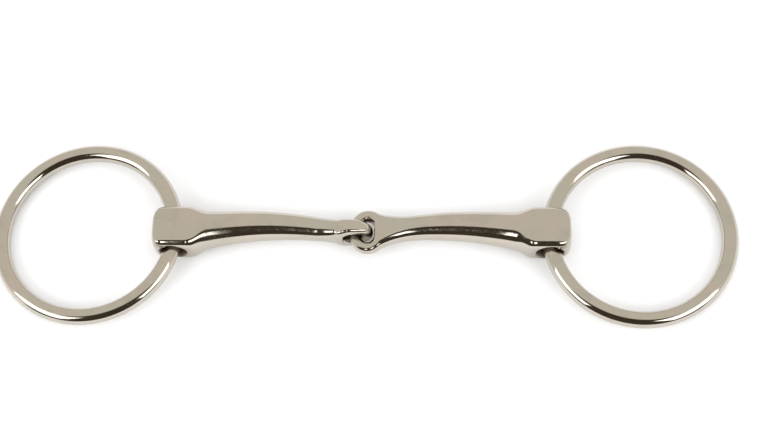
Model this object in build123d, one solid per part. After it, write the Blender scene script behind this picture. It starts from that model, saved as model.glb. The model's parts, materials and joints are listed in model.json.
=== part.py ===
from build123d import *

import os
from math import asin, degrees, exp, pi, sin, sqrt

# Loose-ring, single-jointed snaffle bit.
#
# Four separate pieces: two cannons, which are the halves of the mouthpiece, and two round-wire rings.
# The cannons are alike and lie end to end, each with a butt at its outer end and an eye at its inner end.
# The left cannon's eye stands upright and the right cannon's lies flat, and the two are linked like a chain.
# Each ring passes through the bell-mouthed hole across its cannon's butt.
#
# Frame, in millimetres: X runs along the mouthpiece, Y across it, towards the side that the cannons bow to,
# and Z is up. The origin is on the surface that the bit lies on, under the middle of the joint.

# Overall sizes
mouthpiece_size = 127.0  # between the two ring wires, where they cross the butts
ring_outer_d = 69.0
wire_d = 5.9  # the rings' round wire

# Butt: the block at the outer end of a cannon. Lengths along a cannon start at the axis of the ring's hole.
butt_width = 15.8  # along Y, the length of the ring's hole
butt_height = 13.6
butt_end = 7.4  # length outboard of the hole's axis
butt_shoulder = 6.4  # length inboard of the hole's axis
long_edge_r = 3.1
end_edge_r = 2.9
shoulder_edge_r = 2.2

# Hole for the ring, narrowest at its middle
hole_clearance = 0.4  # all round the wire at the throat
mouth_d = 10.0
cut_past = 1.0  # how far the hole's cutter runs on past the butt

# Cannon between the butt and the eye
neck_d = 8.3
neck_s = 53.0  # where the cannon is thinnest
taper = 0.105  # growth in diameter for each millimetre from the neck to the butt
swell = 2.6  # extra diameter at swell_s, dying away towards the neck
swell_s = 7.6
swell_length = 5.5
root_gap = 0.7  # the cannon's root stays this much inside the butt's height
bow = 2.4  # sideways bow at the cannon's middle

# Eye at the inner end of a cannon
left_eye_width = 13.6
right_eye_width = 16.2
eye_wall = 4.0  # thickness of the eye's metal, in the eye's plane
eye_depth = 4.3  # thickness of the eye's metal, square to that plane
eye_root_depth = 5.4  # where the eye's metal meets the cannon
eye_play = 0.6  # between the two eyes where they pull on each other
eye_slack = 0.6  # behind the left eye's nose, in the right eye's hole
fold_clearance = 0.5  # between the right eye's side and the end of the left eye's hole, when folded square
eye_arm = 3.7  # thickness of the eye's two arms, in the eye's plane
hole_roundness = 0.46  # the hole's corner radius, as a share of its shorter side
eye_root_lap = 0.5  # how far the eye's hole would run on past its end wall
eye_link_walls = 2.1  # walls in the link's length: its nose, its back and a little more inside the cannon
eye_edge_r = 1.5  # rounding of the eye's edges, outside and in its hole
flare_inset = 0.4  # the flare's end is this much narrower than the eye there
flare_power = 2.2  # how late the cannon flares out into its eye
thinning_power = 1.3  # how late it thins to the eye's depth

# Where the cannon's sections are, from inside the butt to its neck, and as shares of its flare
body_stations = (4.0, 7.0, 10.0, 13.5, 17.5, 23.0, 30.0, 38.0, 46.0)
flare_shares = (0.35, 0.6, 0.82, 1.0)

# Values that follow
wire_r = wire_d / 2
ring_r = (ring_outer_d - wire_d) / 2  # radius of the wire's centreline
hole_x = (mouthpiece_size + wire_d) / 2
axis_height = butt_height / 2
throat_r = wire_r + hole_clearance
mouth_r = mouth_d / 2
left_eye_gap = right_eye_width / 2 + fold_clearance - eye_wall / 2  # length of the eye's hole
right_eye_gap = eye_wall + eye_play + eye_slack
cannon_reach = hole_x + eye_wall + eye_play / 2  # from the hole's axis to the eye's tip
ring_tilt = degrees(asin((axis_height - wire_r) / (2 * ring_r)))  # the far side rests on the surface


def eye_link_length(eye_gap):
    """Outside length of the oval that forms an eye: its hole and the metal at both ends of it."""
    return eye_gap + eye_link_walls * eye_wall


def body_diameter(s):
    """Diameter of the cannon at the length s from the hole's axis, up to the neck."""
    grown = neck_d + taper * (neck_s - s) + swell * exp((swell_s - s) / swell_length)
    return min(grown, butt_height - root_gap)


def body_offset(s, end_s):
    """Sideways place of the cannon's centreline: half a wave between the butt and the eye."""
    return bow * sin(pi * (s - swell_s) / (end_s - swell_s)) if s > swell_s else 0.0


def section(s, offset, width, height):
    """One elliptical section, square to the cannon."""
    return Plane(origin=(s, offset, 0), x_dir=(0, 1, 0), z_dir=(1, 0, 0)) * Ellipse(width / 2, height / 2)


def body(eye_width, eye_gap, upright):
    """The cannon from inside the butt to the end wall of the eye's hole, where it has flared into the eye."""
    end_s = cannon_reach - eye_wall - eye_gap
    half_link = eye_link_length(eye_gap) / 2
    end_across = eye_width * sqrt(1 - ((cannon_reach - half_link - end_s) / half_link) ** 2) - flare_inset
    sections = []
    for s in body_stations + (neck_s,):
        d = body_diameter(s)
        sections.append(section(s, body_offset(s, end_s), d, d))
    for share in flare_shares:
        s = neck_s + share * (end_s - neck_s)
        across = neck_d + (end_across - neck_d) * share**flare_power
        depth = neck_d + (eye_root_depth - neck_d) * share**thinning_power
        width, height = (depth, across) if upright else (across, depth)
        sections.append(section(s, body_offset(s, end_s), width, height))
    return loft(sections)


def eye(eye_width, eye_gap, upright):
    """A flat oval link with rounded edges. The cannon's end fills the back of its hole."""
    hole_length = eye_gap + eye_root_lap
    hole_width = eye_width - 2 * eye_arm
    hole = RectangleRounded(hole_length, hole_width, hole_roundness * min(hole_length, hole_width))
    hole = Pos(eye_link_length(eye_gap) / 2 - eye_wall - hole_length / 2, 0) * hole
    outline = Ellipse(eye_link_length(eye_gap) / 2, eye_width / 2)
    link = Pos(0, 0, -eye_depth / 2) * extrude(outline - hole, eye_depth)
    rims = link.edges().filter_by(Plane.XY)
    link = fillet(rims, eye_edge_r)
    if upright:
        link = Rot(X=90) * link
    return Pos(cannon_reach - eye_link_length(eye_gap) / 2, 0, 0) * link


def butt():
    """The block that the ring passes through, with all its edges rounded."""
    block = Box(butt_end + butt_shoulder, butt_width, butt_height)
    block = Pos((butt_shoulder - butt_end) / 2, 0, 0) * block
    block = fillet(block.edges().filter_by(Axis.X), long_edge_r)
    block = fillet(block.faces().sort_by(Axis.X)[0].edges(), end_edge_r)
    return fillet(block.faces().sort_by(Axis.X)[-1].edges(), shoulder_edge_r)


def ring_hole():
    """The cutter for the ring's hole: narrow at the middle and wide at both mouths."""
    half = butt_width / 2
    past = half + cut_past
    past_r = throat_r + (mouth_r - throat_r) * (past / half) ** 2
    wall = ThreePointArc((past_r, -past), (throat_r, 0), (past_r, past))
    outline = wall + Polyline((past_r, past), (0, past), (0, -past), (past_r, -past))
    return revolve(make_face(outline), axis=Axis.Y)


def cannon(eye_width, eye_gap, upright):
    """A whole cannon, with its hole's centre at the origin and its eye towards +X."""
    whole = butt() + body(eye_width, eye_gap, upright) + eye(eye_width, eye_gap, upright)
    return whole - ring_hole()


def ring():
    """A ring lying level, with the hole's centre at the origin and the ring towards -X."""
    return Pos(-ring_r, 0, 0) * Torus(ring_r, wire_r)


def at_left(piece):
    return Pos(-hole_x, 0, axis_height) * piece


def at_right(piece):
    """The same as at the left, turned half a turn about Y, which keeps the side that the cannon bows to."""
    return Pos(hole_x, 0, axis_height) * Rot(Y=180) * piece


def save(shape, node):
    solids = shape.solids()
    if len(solids) != 1:
        raise ValueError(f"{node} came out as {len(solids)} solids")
    export_step(Compound(label=node, children=[solids[0]]), f"parts/{node}.step")


os.makedirs("parts", exist_ok=True)
save(at_left(cannon(left_eye_width, left_eye_gap, upright=True)), "left_cannon")
save(at_right(cannon(right_eye_width, right_eye_gap, upright=False)), "right_cannon")
save(at_left(Rot(Y=-ring_tilt) * ring()), "left_ring")
save(at_right(Rot(Y=ring_tilt) * ring()), "right_ring")
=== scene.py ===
"""Loose-ring snaffle bit: two polished cannons linked at the middle, with a round-wire ring through each butt."""

import json
from math import asin, atan2, cos, exp, pi, radians, sin, sqrt, tan

import bmesh
import bpy
from mathutils import Matrix, Vector


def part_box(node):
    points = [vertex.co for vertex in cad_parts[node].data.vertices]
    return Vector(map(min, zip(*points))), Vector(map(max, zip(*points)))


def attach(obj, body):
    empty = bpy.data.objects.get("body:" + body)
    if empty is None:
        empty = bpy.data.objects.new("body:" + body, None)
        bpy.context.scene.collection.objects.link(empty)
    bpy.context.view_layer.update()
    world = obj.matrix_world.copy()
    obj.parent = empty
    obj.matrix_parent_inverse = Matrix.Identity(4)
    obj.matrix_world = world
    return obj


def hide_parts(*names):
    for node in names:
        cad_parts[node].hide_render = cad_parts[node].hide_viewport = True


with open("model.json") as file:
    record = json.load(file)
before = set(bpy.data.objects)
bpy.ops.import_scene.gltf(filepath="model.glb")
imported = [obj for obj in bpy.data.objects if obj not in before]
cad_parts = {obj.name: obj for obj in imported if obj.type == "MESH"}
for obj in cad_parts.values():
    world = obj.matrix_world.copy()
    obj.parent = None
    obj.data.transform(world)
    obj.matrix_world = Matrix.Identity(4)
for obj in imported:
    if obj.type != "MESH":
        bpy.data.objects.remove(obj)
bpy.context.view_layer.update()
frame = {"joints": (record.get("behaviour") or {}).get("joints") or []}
joints = {joint["name"]: joint for joint in frame["joints"]}

MM = 0.001  # pieces are shaped in millimetres and scaled to metres at the end
LEFT_HOLE = Vector(joints["left_ring_swing"]["pos_m"]) / MM
RIGHT_HOLE = Vector(joints["right_ring_swing"]["pos_m"]) / MM
EYE_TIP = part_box("left_cannon")[1].x / MM - LEFT_HOLE.x  # from a hole's axis to the tip of its cannon's eye

# Rings
HAIR = 0.01  # how far the rings' outer edges stay inside the CAD box, in both directions together
RING_OUTER_D = (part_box("left_ring")[1].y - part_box("left_ring")[0].y) / MM - HAIR
WIRE_D = 5.9
RING_R = (RING_OUTER_D - WIRE_D) / 2
RING_TILT = asin((LEFT_HOLE.z - WIRE_D / 2) / (2 * RING_R))

# Butts
BUTT_W = (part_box("left_cannon")[1].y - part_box("left_cannon")[0].y) / MM
BUTT_H = 2 * LEFT_HOLE.z
BUTT_END = LEFT_HOLE.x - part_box("left_cannon")[0].x / MM
EDGE_R = 3.1
THROAT_R = 3.35
MOUTH_R = 5.0
END_LENGTH = 6.0  # the outer part of a butt, where its sections lie close together
END_STEPS = 16
CUT_PAST = 1.0  # how far the hole's cutter stands out of each side
CROWN_SIDES = 0.4  # a crown's rounding across the butt, as a share of its rounding in height

# Cannons. Every place along one is a distance from its hole's axis.
NECK_S = 53.0
NECK_D = 8.3
TAPER = 0.105
SWELL_D, SWELL_S, SWELL_LENGTH = 2.6, 7.6, 5.5  # the extra thickness next to the butt, and how it dies away
SQUARE_TO, ROUND_FROM = 4.4, 12.0  # the butt's section gives way to the round one between these
STATION_STEP = 0.6

# Eyes
EYE_WALL = 4.0
LINK_WALLS = 2.1  # an eye is as long as its gap and this many walls
END_SINK = 0.4  # how far the body's end wall stays inside the eye, across
THIN_POWER = 1.3
LEFT_EYE = {"width": 13.6, "gap": 6.6, "upright": True, "flare_s": 50.5, "flare_power": 1.6, "bow": 2.3,
            "nose_depth": 4.8, "arm_depth": 5.6, "root_depth": 6.8, "corner": 1.84}
RIGHT_EYE = {"width": 16.2, "gap": 5.0, "upright": False, "flare_s": 44.0, "flare_power": 2.6, "bow": 2.3,
             "nose_depth": 4.3, "arm_depth": 4.5, "root_depth": 5.6, "corner": 1.84}

# Rounding of the butts' outer faces: how far in along the cannon it starts, and how much it takes off there
BUTT_EDGES = {"side_length": 3.2, "side_drop": 3.2, "top_length": 2.0, "top_drop": 1.8}
LEFT_BUTT = {**BUTT_EDGES, "crown_length": 5.0, "crown": 1.0}
RIGHT_BUTT = {**BUTT_EDGES, "crown_length": 7.5, "crown": 1.5}

# Faces round each section, and sections along each sweep
BODY_SEGMENTS = 96
EYE_SEGMENTS = 40
EYE_STEPS = 72
HOLE_SEGMENTS = 96
HOLE_STEPS = 24
WIRE_SEGMENTS = 64
WIRE_STEPS = 360

# Blending each cannon into one skin
BLEND_VOXEL = 0.25
BLEND_ROUNDS = 25
FINE_VOXEL = 0.22
POLISH_ROUNDS = 12
MERGE_DISTANCE = 0.0001

# Metal
METAL = (0.50, 0.47, 0.41)
ROSY = (0.53, 0.472, 0.41)
HAZE = (0.445, 0.414, 0.36)
# painted shade: a dark colour mixed into the cannons inside the rings' holes and where the two eyes meet
HOLLOW_SHADE_COLOUR = (0.16, 0.12, 0.09)
HOLE_SHADE_REACH = (4.7, 5.5)  # from a hole's axis: where its painted shade and dulling start to fade, and where they end
LINK_SHADE_REACH = (5.6, 5.0, 3.4)  # reach of the painted shade and dulling where the eyes rub, along X, Y and Z
LINK_FADE = (0.85, 1.08)  # shares of that reach between which it fades
PLAIN_ROUGHNESS = 0.055
GRINDING_HEIGHT = 0.0012 * MM
WAVE_HEIGHT = 0.012 * MM
PIT_DEPTH = 0.02 * MM
SCRATCH_DEPTH = 0.002 * MM

# Table and surround
TABLE_R = 3.0
TABLE_WHITE = (0.93, 0.93, 0.93)
GAP_SIDES = (1.5, 2.3)  # the dark gap's edges, as sideways over forward
GAP_TOP = (2.7, 3.7)  # and its top, as upward over forward
DARK_SIDE = (0.064, 0.051, 0.035)
WARM_SIDE = (0.91, 0.877, 0.80)
SURROUND = (1.08, 1.08, 1.08)

# Lights
SOFTBOX_DISTANCE = 0.85
SOFTBOX_SIZE = (0.60, 0.48)
SOFTBOX_POWER = 2.6
STRIP_DISTANCE = 0.22
STRIP_ELEVATION = radians(46)
STRIP_SPREAD = radians(19)
STRIP_RADIANCE = 2.9
LEFT_STRIPS = ((-0.50, -0.22), (-0.160, -0.110), (-0.062, -0.050), (-0.010, 0.50))
RIGHT_STRIPS = ((-0.050, -0.022), (0.014, 0.052), (0.16, 0.50))

# Camera
CAMERA_AZ = radians(9.025)
CAMERA_EL = radians(66.544)
CAMERA_ROLL = radians(-8.159)
CAMERA_DISTANCE = 0.6293
CAMERA_AIM = Vector((0.006674, 0.006734, 0))
CAMERA_LENS = 82.95


def smooth_step(low, high, value):
    t = min(1.0, max(0.0, (value - low) / (high - low)))
    return t * t * (3 - 2 * t)


def mix(a, b, share):
    return a + (b - a) * share


# ---------------------------------------------------------------- shapes


def add_ring(bm, frame_matrix, width, height, corner_r, segments=BODY_SEGMENTS):
    """One closed loop of edges: a rectangle with round corners, made from a circle's four quarters."""
    made = bmesh.ops.create_circle(bm, segments=segments, radius=1.0)["verts"]
    corner_r = min(corner_r, width / 2, height / 2)
    half_step = Matrix.Rotation(pi / segments, 4, "Z")
    for vert in made:
        on_circle = half_step @ vert.co
        vert.co.x = on_circle.x * corner_r + (width / 2 - corner_r) * (1 if on_circle.x > 0 else -1)
        vert.co.y = on_circle.y * corner_r + (height / 2 - corner_r) * (1 if on_circle.y > 0 else -1)
    bmesh.ops.transform(bm, matrix=frame_matrix, verts=made)
    return list({edge for vert in made for edge in vert.link_edges})


def skin(bm, loops, closed=False):
    """Bridges each loop of edges to the next, then caps both ends or joins the last to the first."""
    pairs = list(zip(loops, loops[1:] + loops[:1] if closed else loops[1:]))
    for a, b in pairs:
        bmesh.ops.bridge_loops(bm, edges=a + b)
    if not closed:
        for loop in (loops[0], loops[-1]):
            bmesh.ops.contextual_create(bm, geom=loop)


def across(s, offset):
    """Frame of a section square to the cannon: its X lies along Y, and its Y along Z."""
    return Matrix(((0, 0, 1, s), (1, 0, 0, offset), (0, 1, 0, 0), (0, 0, 0, 1)))


def body_diameter(s):
    return NECK_D + TAPER * (NECK_S - s) + SWELL_D * exp((SWELL_S - s) / SWELL_LENGTH)


def body_size(s, butt):
    """Width, height and corner radius of the cannon at the length s from the hole's axis, up to its flare."""
    share = smooth_step(SQUARE_TO, ROUND_FROM, s)
    width = mix(BUTT_W, body_diameter(s), share)
    height = mix(BUTT_H, min(body_diameter(s), BUTT_H), share)
    corner = mix(EDGE_R, min(width, height) / 2, share)
    from_end = s + BUTT_END
    width -= 2 * butt["side_drop"] * end_rounding(from_end, butt["side_length"])
    height -= 2 * butt["top_drop"] * end_rounding(from_end, butt["top_length"])
    crowned = max(0.0, 1 - from_end / butt["crown_length"]) ** 2
    width -= 2 * CROWN_SIDES * butt["crown"] * crowned
    height -= 2 * butt["crown"] * crowned
    return width, height, min(corner, width / 2, height / 2)


def end_rounding(from_end, length):
    """1 at the outer face and 0 from the given length on, along a quarter of an ellipse."""
    back = max(0.0, 1 - from_end / length)
    return 1 - sqrt(1 - back**2)


def add_body(bm, eye, butt):
    """Butt and cannon in one skin, from the outer face to the end wall of the eye's hole."""
    end_s = EYE_TIP - EYE_WALL - eye["gap"]

    def offset(s):
        return eye["bow"] * sin(pi * (s - SWELL_S) / (end_s - SWELL_S)) if s > SWELL_S else 0.0

    stations = [-BUTT_END + END_LENGTH * (1 - cos(i / END_STEPS * pi / 2)) for i in range(END_STEPS + 1)]
    while stations[-1] < end_s - STATION_STEP:
        stations.append(stations[-1] + STATION_STEP)
    stations.append(end_s)
    half_link = eye_half_length(eye)
    end_across = eye["width"] * sqrt(1 - ((EYE_TIP - half_link - end_s) / half_link) ** 2) - END_SINK
    end_d = body_diameter(end_s)
    loops = []
    for s in stations:
        width, height, corner = body_size(s, butt)
        share = max(0.0, (s - eye["flare_s"]) / (end_s - eye["flare_s"]))
        wide = (end_across - end_d) * share ** eye["flare_power"]
        thin = (eye["root_depth"] - end_d) * share**THIN_POWER
        if share > 0:
            width, height = (width + thin, height + wide) if eye["upright"] else (width + wide, height + thin)
            corner = min(width, height) / 2
        loops.append(add_ring(bm, across(s, offset(s)), width, height, corner))
    skin(bm, loops)


def eye_half_length(eye):
    return (eye["gap"] + LINK_WALLS * EYE_WALL) / 2


def add_eye(bm, eye):
    """The eye: a rounded section carried round an oval, lying level or standing upright. It is slimmest at its nose,
    which the other eye turns round, and stoutest where it grows out of the cannon."""
    half_length = eye_half_length(eye) - EYE_WALL / 2
    half_width = eye["width"] / 2 - EYE_WALL / 2
    centre = Matrix.Translation((EYE_TIP - eye_half_length(eye), 0, 0))
    stand = Matrix.Rotation(pi / 2, 4, "X") if eye["upright"] else Matrix.Identity(4)
    loops = []
    for i in range(EYE_STEPS):
        a = 2 * pi * i / EYE_STEPS
        normal = Vector((half_width * cos(a), half_length * sin(a), 0)).normalized()
        turn = Matrix.Rotation(atan2(normal.y, normal.x), 4, "Z") @ Matrix.Rotation(pi / 2, 4, "X")
        place = Matrix.Translation((half_length * cos(a), half_width * sin(a), 0))
        depth = mix(eye["nose_depth"], eye["arm_depth"], smooth_step(0.25, 0.8, 1 - cos(a)))
        depth = mix(depth, eye["root_depth"], smooth_step(0.0, 0.8, -cos(a)))
        loops.append(add_ring(bm, centre @ stand @ place @ turn, EYE_WALL, depth, eye["corner"], EYE_SEGMENTS))
    skin(bm, loops, closed=True)


def add_hole_cutter(bm):
    """A solid of revolution about Y, narrow at its middle and wide at both mouths."""
    past = BUTT_W / 2 + CUT_PAST
    verts = [bm.verts.new((0, -past, 0))]
    for i in range(HOLE_STEPS + 1):
        y = mix(-past, past, i / HOLE_STEPS)
        verts.append(bm.verts.new((THROAT_R + (MOUTH_R - THROAT_R) * (2 * y / BUTT_W) ** 2, y, 0)))
    verts.append(bm.verts.new((0, past, 0)))
    edges = [bm.edges.new(pair) for pair in zip(verts, verts[1:])]
    geom = verts + edges
    bmesh.ops.spin(bm, geom=geom, axis=(0, 1, 0), cent=(0, 0, 0), angle=2 * pi, steps=HOLE_SEGMENTS, use_merge=True)
    bmesh.ops.remove_doubles(bm, verts=bm.verts, dist=MERGE_DISTANCE)


def mesh_from(name, *builders):
    bm = bmesh.new()
    for builder, *values in builders:
        builder(bm, *values)
    bmesh.ops.recalc_face_normals(bm, faces=bm.faces)
    mesh = bpy.data.meshes.new(name)
    bm.to_mesh(mesh)
    bm.free()
    return mesh


def place_object(name, mesh):
    piece = bpy.data.objects.new(name, mesh)
    bpy.context.scene.collection.objects.link(piece)
    return piece


def apply_modifiers(piece):
    depsgraph = bpy.context.evaluated_depsgraph_get()
    mesh = bpy.data.meshes.new_from_object(piece.evaluated_get(depsgraph))
    piece.modifiers.clear()
    piece.data = mesh


def remesh_and_soften(piece, voxel, rounds):
    remesh = piece.modifiers.new("one_skin", "REMESH")
    remesh.mode = "VOXEL"
    remesh.voxel_size = voxel
    soften = piece.modifiers.new("polishing", "SMOOTH")
    soften.factor = 0.5
    soften.iterations = rounds
    apply_modifiers(piece)


def make_cannon(name, eye, butt, hole, turned):
    """A cannon as it leaves the polisher: butt, body and eye in one soft-edged skin, with the ring's hole cut
    through it. The right one is turned about Y."""
    piece_name = f"{name}_polished"
    piece = place_object(piece_name, mesh_from(piece_name, (add_body, eye, butt), (add_eye, eye)))
    remesh_and_soften(piece, voxel=BLEND_VOXEL, rounds=BLEND_ROUNDS)
    cutter = place_object("hole_cutter", mesh_from("hole_cutter", (add_hole_cutter,)))
    cut = piece.modifiers.new("ring_hole", "BOOLEAN")
    cut.operation = "DIFFERENCE"
    cut.object = cutter
    cut.solver = "EXACT"
    apply_modifiers(piece)
    bpy.data.objects.remove(cutter)
    remesh_and_soften(piece, voxel=FINE_VOXEL, rounds=POLISH_ROUNDS)
    turn = Matrix.Rotation(pi, 4, "Y") if turned else Matrix.Identity(4)
    piece.data.transform(Matrix.Scale(MM, 4) @ Matrix.Translation(hole) @ turn)
    finish_piece(piece, name, "cannon_metal")
    return piece


def add_wire(bm):
    """A ring of round wire, lying level, with the hole's centre at the origin and the ring towards -X."""
    start = bmesh.ops.create_circle(bm, segments=WIRE_SEGMENTS, radius=WIRE_D / 2)["verts"]
    upright = Matrix.Translation((RING_R, 0, 0)) @ Matrix.Rotation(pi / 2, 4, "X")
    bmesh.ops.transform(bm, matrix=upright, verts=start)
    geom = start + bm.edges[:]
    bmesh.ops.spin(bm, geom=geom, axis=(0, 0, 1), cent=(0, 0, 0), angle=2 * pi, steps=WIRE_STEPS, use_merge=True)
    bmesh.ops.remove_doubles(bm, verts=bm.verts, dist=MERGE_DISTANCE)
    bmesh.ops.translate(bm, vec=(-RING_R, 0, 0), verts=bm.verts)


def make_ring(name, hole, turned):
    piece_name = f"{name}_polished"
    piece = place_object(piece_name, mesh_from(piece_name, (add_wire,)))
    slope = Matrix.Rotation(-RING_TILT, 4, "Y")
    turn = Matrix.Rotation(pi, 4, "Z") if turned else Matrix.Identity(4)
    piece.data.transform(Matrix.Scale(MM, 4) @ Matrix.Translation(hole) @ turn @ slope)
    finish_piece(piece, name, "ring_metal")
    return piece


def finish_piece(piece, body, slot):
    """Smooth shading, its material, the body it moves with and the CAD node of that name, which it stands for."""
    for polygon in piece.data.polygons:
        polygon.use_smooth = True
    piece.data.materials.clear()
    piece.data.materials.append(MATERIALS[slot])
    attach(piece, body)
    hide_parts(body)


# ---------------------------------------------------------------- materials


class Value:
    """A socket that takes part in arithmetic: an expression on values adds its Math nodes."""

    def __init__(self, nodes, socket):
        self.nodes = nodes
        self.socket = socket

    def maths(self, operation, *others):
        return self.nodes.add("ShaderNodeMath", {"operation": operation}, [self, *others])

    def __add__(self, other):
        return self.maths("ADD", other)

    __radd__ = __add__

    def __mul__(self, other):
        return self.maths("MULTIPLY", other)

    __rmul__ = __mul__

    def __sub__(self, other):
        return self.maths("SUBTRACT", other)

    def __rsub__(self, other):
        return self.nodes.add("ShaderNodeMath", {"operation": "SUBTRACT"}, [other, self])

    def __truediv__(self, other):
        return self.maths("DIVIDE", other)

    def __rtruediv__(self, other):
        return self.nodes.add("ShaderNodeMath", {"operation": "DIVIDE"}, [other, self])

    def node_outputs(self):
        return [Value(self.nodes, socket) for socket in self.socket.node.outputs]


class Nodes:
    """A material's or the world's node tree. Inputs are given by name in a dictionary, or in order in a list."""

    def __init__(self, tree):
        self.tree = tree
        tree.nodes.clear()

    def add(self, kind, settings=None, inputs=None, output=0):
        node = self.tree.nodes.new(kind)
        for key, value in (settings or {}).items():
            setattr(node, key, value)
        pairs = inputs.items() if isinstance(inputs, dict) else enumerate(inputs or [])
        for key, value in pairs:
            if isinstance(value, Value):
                self.tree.links.new(value.socket, node.inputs[key])
            else:
                node.inputs[key].default_value = value
        return Value(self, node.outputs[output]) if node.outputs else None

    def mix_colours(self, factor, first, second):
        """The first colour where the factor is 0, and the second where it is 1."""
        inputs = {"Factor": factor, "A": first, "B": second}
        return self.add("ShaderNodeMix", {"data_type": "RGBA"}, inputs, output=2)


def step_between(nodes, value, low, high):
    """0 below low, 1 above high, smooth between."""
    settings = {"interpolation_type": "SMOOTHSTEP"}
    return nodes.add("ShaderNodeMapRange", settings, {"Value": value, "From Min": low, "From Max": high})


def shaded_dulled_places(nodes, place):
    """1 inside the rings' holes and where the two eyes rub, 0 elsewhere: where painted shade darkens the colour and
    the metal is dulled.
    """
    parts = nodes.add("ShaderNodeSeparateXYZ", None, [place]).node_outputs()
    from_middle = parts[0].maths("ABSOLUTE")
    beside = from_middle - RIGHT_HOLE.x * MM
    above = parts[2] - RIGHT_HOLE.z * MM
    from_hole = (beside * beside + above * above).maths("SQRT")
    in_hole = 1 - step_between(nodes, from_hole, HOLE_SHADE_REACH[0] * MM, HOLE_SHADE_REACH[1] * MM)
    scaled = [part / (reach * MM) for part, reach in zip((parts[0], parts[1], above), LINK_SHADE_REACH)]
    from_link = sum(part * part for part in scaled).maths("SQRT")
    return in_hole + (1 - step_between(nodes, from_link, *LINK_FADE))


def polished_metal(name, scale, shade_inside):
    """Bright polished metal: faint grinding lines, fine scratches, a few pits, soft hazy and rosy patches and, on the
    cannons, painted shade and dulled metal where the other pieces rub. The scale multiplies the size of every mark."""
    material = bpy.data.materials.new(name)
    material.use_nodes = True
    nodes = Nodes(material.node_tree)
    place = nodes.add("ShaderNodeTexCoord", output=3)

    def noise(size_mm, detail=2.0, rough=0.5, stretch=(1, 1, 1), turn=(0, 0, 0)):
        turned = nodes.add("ShaderNodeMapping", None, {"Vector": place, "Rotation": turn})
        spread = nodes.add("ShaderNodeMapping", None, {"Vector": turned, "Scale": stretch})
        values = {"Vector": spread, "Scale": 1 / (size_mm * MM), "Detail": detail, "Roughness": rough}
        return nodes.add("ShaderNodeTexNoise", None, values)

    # Grinding lines and waves are noise over the whole surface. The other marks are 0 where the metal is plain.
    haze = step_between(nodes, noise(9 * scale, 3.0, 0.6), 0.48, 0.72)
    grinding = noise(0.35 * scale, 2.0, 0.5, (0.05, 1.0, 1.0))
    waves = noise(6 * scale, 1.0)
    cells = nodes.add("ShaderNodeTexVoronoi", None, {"Vector": place, "Scale": 1 / (2.6 * scale * MM)})
    pits = (1 - step_between(nodes, cells, 0.03, 0.075)) * step_between(nodes, noise(5 * scale, 1.0), 0.56, 0.62)
    hairlines = [
        step_between(nodes, noise(0.5 * scale, 1.0, 0.5, (0.03, 1.0, 1.0), (0, 0, turn)), low, low + 0.06)
        for turn, low in ((0.6, 0.66), (-0.9, 0.67))
    ]
    scratches = hairlines[0] + hairlines[1]
    rosy = step_between(nodes, noise(16 * scale, 2.0, 0.5), 0.42, 0.62)

    tone = nodes.mix_colours(rosy * 0.8, (*METAL, 1), (*ROSY, 1))
    colour = nodes.mix_colours(haze * 0.6 + pits * 0.4 + scratches * 0.25, tone, (*HAZE, 1))
    roughness = haze * 0.06 + grinding * 0.04 + pits * 0.25 + scratches * 0.08 + PLAIN_ROUGHNESS
    if shade_inside:
        # painted shade: the colour is darkened inside the rings' holes and between the eyes, and the roughness rises
        # there too
        shade_and_dulling = shaded_dulled_places(nodes, place)
        colour = nodes.mix_colours(shade_and_dulling * 0.85, colour, (*HOLLOW_SHADE_COLOUR, 1))
        roughness = roughness + shade_and_dulling * 0.25
    height = grinding * GRINDING_HEIGHT + waves * WAVE_HEIGHT - pits * PIT_DEPTH - scratches * SCRATCH_DEPTH
    bump = nodes.add("ShaderNodeBump", None, {"Height": height, "Strength": 0.5, "Distance": 1.0})
    values = {"Base Color": colour, "Metallic": 1.0, "Roughness": roughness, "Normal": bump}
    shader = nodes.add("ShaderNodeBsdfPrincipled", None, values)
    nodes.add("ShaderNodeOutputMaterial", None, {"Surface": shader})
    return material


def floor_material():
    material = bpy.data.materials.new("white_table")
    material.use_nodes = True
    nodes = Nodes(material.node_tree)
    shader = nodes.add("ShaderNodeBsdfDiffuse", None, {"Color": (*TABLE_WHITE, 1)})
    nodes.add("ShaderNodeOutputMaterial", None, {"Surface": shader})
    return material


MATERIALS = {
    "cannon_metal": polished_metal("polished_cannon", scale=1.0, shade_inside=True),
    "ring_metal": polished_metal("polished_wire", scale=0.8, shade_inside=False),
}

CANNONS = [
    make_cannon("left_cannon", LEFT_EYE, LEFT_BUTT, LEFT_HOLE, turned=False),
    make_cannon("right_cannon", RIGHT_EYE, RIGHT_BUTT, RIGHT_HOLE, turned=True),
]
RINGS = [
    make_ring("left_ring", LEFT_HOLE, turned=False),
    make_ring("right_ring", RIGHT_HOLE, turned=True),
]


# ---------------------------------------------------------------- stage, light and camera


def make_table():
    bm = bmesh.new()
    bmesh.ops.create_circle(bm, cap_ends=True, segments=128, radius=TABLE_R)
    mesh = bpy.data.meshes.new("table_top")
    bm.to_mesh(mesh)
    bm.free()
    mesh.materials.append(floor_material())
    table = place_object("table_top", mesh)
    return table


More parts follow.
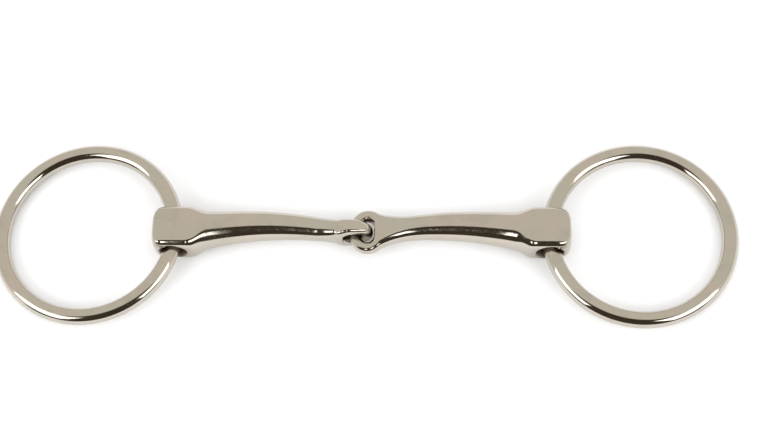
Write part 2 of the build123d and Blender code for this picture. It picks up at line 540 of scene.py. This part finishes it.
def make_room():
    """What the metal reflects: a warm, even room, dark low down on the front side. Everything else sees a plain
    white surround."""
    world = bpy.data.worlds.new("room")
    bpy.context.scene.world = world
    world.use_nodes = True
    nodes = Nodes(world.node_tree)
    direction = nodes.add("ShaderNodeTexCoord", output=0)
    parts = nodes.add("ShaderNodeSeparateXYZ", None, [direction]).node_outputs()
    ahead = (parts[1] * -1.0).maths("MAXIMUM", 0.001)
    sideways = parts[0].maths("ABSOLUTE") / ahead
    upward = parts[2] / ahead
    dark = (1 - step_between(nodes, sideways, *GAP_SIDES)) * (1 - step_between(nodes, upward, *GAP_TOP))
    colour = nodes.mix_colours(dark, (*WARM_SIDE, 1), (*DARK_SIDE, 1))
    reflected = nodes.add("ShaderNodeLightPath", output=3)
    shown = nodes.mix_colours(reflected, (*SURROUND, 1), colour)
    background = nodes.add("ShaderNodeBackground", None, {"Color": shown, "Strength": 1.0})
    nodes.add("ShaderNodeOutputWorld", None, {"Surface": background})


def light_only(lamp, *receivers):
    """Shows a lamp to the given objects and to nothing else."""
    seen_by = bpy.data.collections.new(lamp.name)
    for receiver in receivers:
        seen_by.objects.link(receiver)
    lamp.light_linking.receiver_collection = seen_by


def place_lamp(name, size, power, outward, middle, *receivers):
    """A softbox whose middle is given and which faces back along the outward direction."""
    light = bpy.data.lights.new(name, "AREA")
    light.shape = "RECTANGLE"
    light.size, light.size_y = size
    light.energy = power
    lamp = bpy.data.objects.new(name, light)
    lamp.location = middle
    lamp.rotation_euler = outward.to_track_quat("Z", "Y").to_euler()
    lamp.visible_camera = False
    light_only(lamp, *receivers)
    bpy.context.scene.collection.objects.link(lamp)


def far_softbox(name, azimuth, elevation, *receivers):
    """A large softbox aimed at the object. Azimuth 0 is along +X and 90 along +Y."""
    a, e = radians(azimuth), radians(elevation)
    outward = Vector((cos(a) * cos(e), sin(a) * cos(e), sin(e)))
    place_lamp(name, SOFTBOX_SIZE, SOFTBOX_POWER, outward, outward * SOFTBOX_DISTANCE, *receivers)


def strip_light(name, low_x, high_x, cannon):
    """A long narrow softbox in front of the mouthpiece and level with it, seen by one cannon only."""
    size = (high_x - low_x, 2 * STRIP_DISTANCE * tan(STRIP_SPREAD / 2))
    power = STRIP_RADIANCE * pi * size[0] * size[1]
    outward = Vector((0, -cos(STRIP_ELEVATION), sin(STRIP_ELEVATION)))
    middle = outward * STRIP_DISTANCE + Vector(((low_x + high_x) / 2, 0, 0))
    place_lamp(name, size, power, outward, middle, cannon)


def make_camera():
    """Looks down on the bit from the front, turned a little, through a long lens."""
    back = Vector((sin(CAMERA_AZ) * cos(CAMERA_EL), -cos(CAMERA_AZ) * cos(CAMERA_EL), sin(CAMERA_EL)))
    lens = bpy.data.cameras.new("camera")
    lens.lens = CAMERA_LENS
    lens.clip_end = 20
    camera = bpy.data.objects.new("camera", lens)
    turn = back.to_track_quat("Z", "Y") @ Matrix.Rotation(CAMERA_ROLL, 4, "Z").to_quaternion()
    camera.rotation_euler = turn.to_euler()
    camera.location = CAMERA_AIM + back * CAMERA_DISTANCE
    bpy.context.scene.collection.objects.link(camera)
    bpy.context.scene.camera = camera


TABLE = make_table()
make_room()
far_softbox("left_softbox", -148, 33, TABLE, *RINGS)
far_softbox("right_softbox", -32, 31, TABLE, *RINGS)
for cannon, strips in zip(CANNONS, (LEFT_STRIPS, RIGHT_STRIPS)):
    for low_x, high_x in strips:
        strip_light("cannon_strip", low_x, high_x, cannon)
make_camera()

bpy.context.scene.view_settings.view_transform = "Standard"
